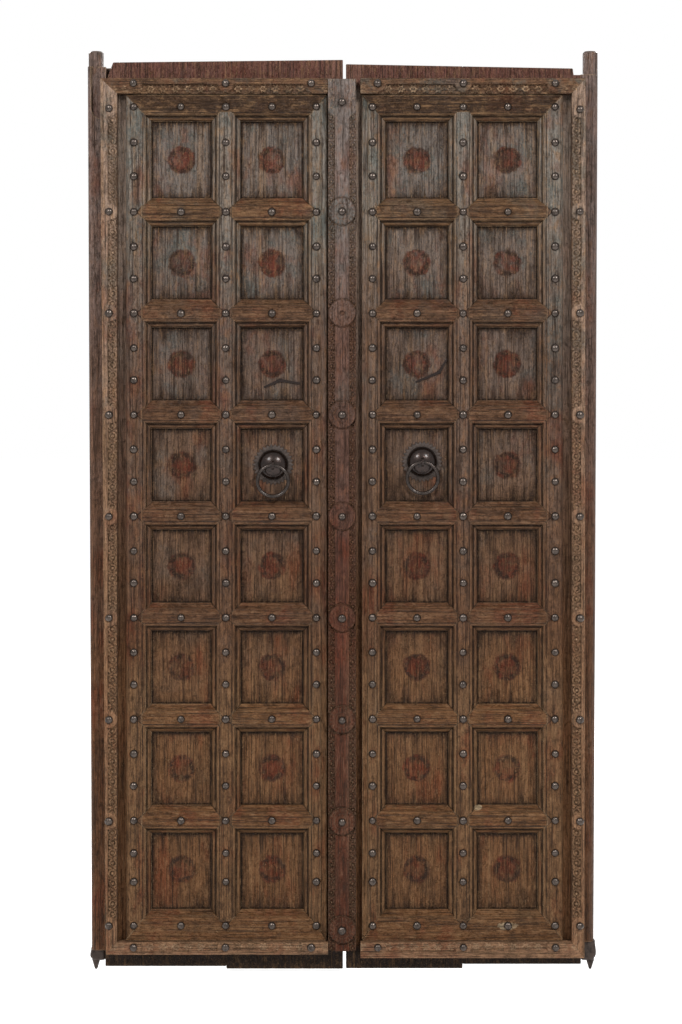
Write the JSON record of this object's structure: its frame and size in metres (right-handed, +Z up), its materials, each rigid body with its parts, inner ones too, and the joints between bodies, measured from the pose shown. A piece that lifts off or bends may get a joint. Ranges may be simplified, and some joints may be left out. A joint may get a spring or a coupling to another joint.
{
  "type": "carved temple door",
  "caption": "Carved wooden door leaves hung on pivots, with a raised grid of mouldings, carved borders, a cover strip over the seam, studs and ring pulls.",
  "frame": {"origin": "on the seam between the leaves, in the middle of the planks' thickness, level with the tips of the bottom pivot pins", "axes": "+X along the door to the right as seen from the carved front, +Y into the building, +Z up"},
  "size_m": [1.193, 0.11, 2.15],
  "materials": {
    "wood": "worn",
    "carved_wood": "worn",
    "iron": "rusted"
  },
  "bodies": {
    "sill_pivots": {"pivot_pins": "iron"},
    "left_leaf": {"left_back_batten_1": "wood", "left_back_batten_2": "wood", "left_back_batten_3": "wood", "left_bottom_border": "carved_wood", "left_bottom_rail": "wood", "left_centre_muntin": "wood", "left_cross_rail_1": "wood", "left_cross_rail_2": "wood", "left_cross_rail_3": "wood", "left_cross_rail_4": "wood", "left_cross_rail_5": "wood", "left_cross_rail_6": "wood", "left_cross_rail_7": "wood", "left_inner_plank": "wood", "left_inner_stile": "wood", "left_outer_plank": "wood", "left_outer_stile": "wood", "left_pivot_post": "wood", "left_pivot_shoe": "iron", "left_ring_boss": "iron", "left_ring_plate": "iron", "left_ring_staple": "iron", "left_side_border": "carved_wood", "left_split_pin": "iron", "left_studs": "iron", "left_top_border": "carved_wood", "left_top_rail": "wood", "centre_cover_strip": "carved_wood"},
    "right_leaf": {"right_back_batten_1": "wood", "right_back_batten_2": "wood", "right_back_batten_3": "wood", "right_bottom_border": "carved_wood", "right_bottom_rail": "wood", "right_centre_muntin": "wood", "right_cross_rail_1": "wood", "right_cross_rail_2": "wood", "right_cross_rail_3": "wood", "right_cross_rail_4": "wood", "right_cross_rail_5": "wood", "right_cross_rail_6": "wood", "right_cross_rail_7": "wood", "right_inner_plank": "wood", "right_inner_stile": "wood", "right_outer_plank": "wood", "right_outer_stile": "wood", "right_pivot_post": "wood", "right_pivot_shoe": "iron", "right_ring_boss": "iron", "right_ring_plate": "iron", "right_ring_staple": "iron", "right_side_border": "carved_wood", "right_split_pin": "iron", "right_studs": "iron", "right_top_border": "carved_wood", "right_top_rail": "wood"},
    "left_ring": {"left_pull_ring": "iron"},
    "right_ring": {"right_pull_ring": "iron"}
  },
  "joints": [
    {"name": "right_leaf_swing", "type": "hinge", "parent": "sill_pivots", "child": "right_leaf", "pos_m": [0.576, 0.012, 0], "axis": [0, 0, -1], "range_deg": [0, 100]},
    {"name": "left_leaf_swing", "type": "hinge", "parent": "sill_pivots", "child": "left_leaf", "pos_m": [-0.582, 0.012, 0], "axis": [0, 0, 1], "range_deg": [0, 90]},
    {"name": "left_ring_swing", "type": "hinge", "parent": "left_leaf", "child": "left_ring", "pos_m": [-0.166, -0.05, 1.18325], "axis": [-1, 0, 0], "range_deg": [-23, 203]},
    {"name": "right_ring_swing", "type": "hinge", "parent": "right_leaf", "child": "right_ring", "pos_m": [0.181, -0.05, 1.19025], "axis": [-1, 0, 0], "range_deg": [-23, 203]}
  ],
  "couplings": [
    {"joint": "left_leaf_swing", "follows": "right_leaf_swing", "ratio": 0.9}
  ]
}
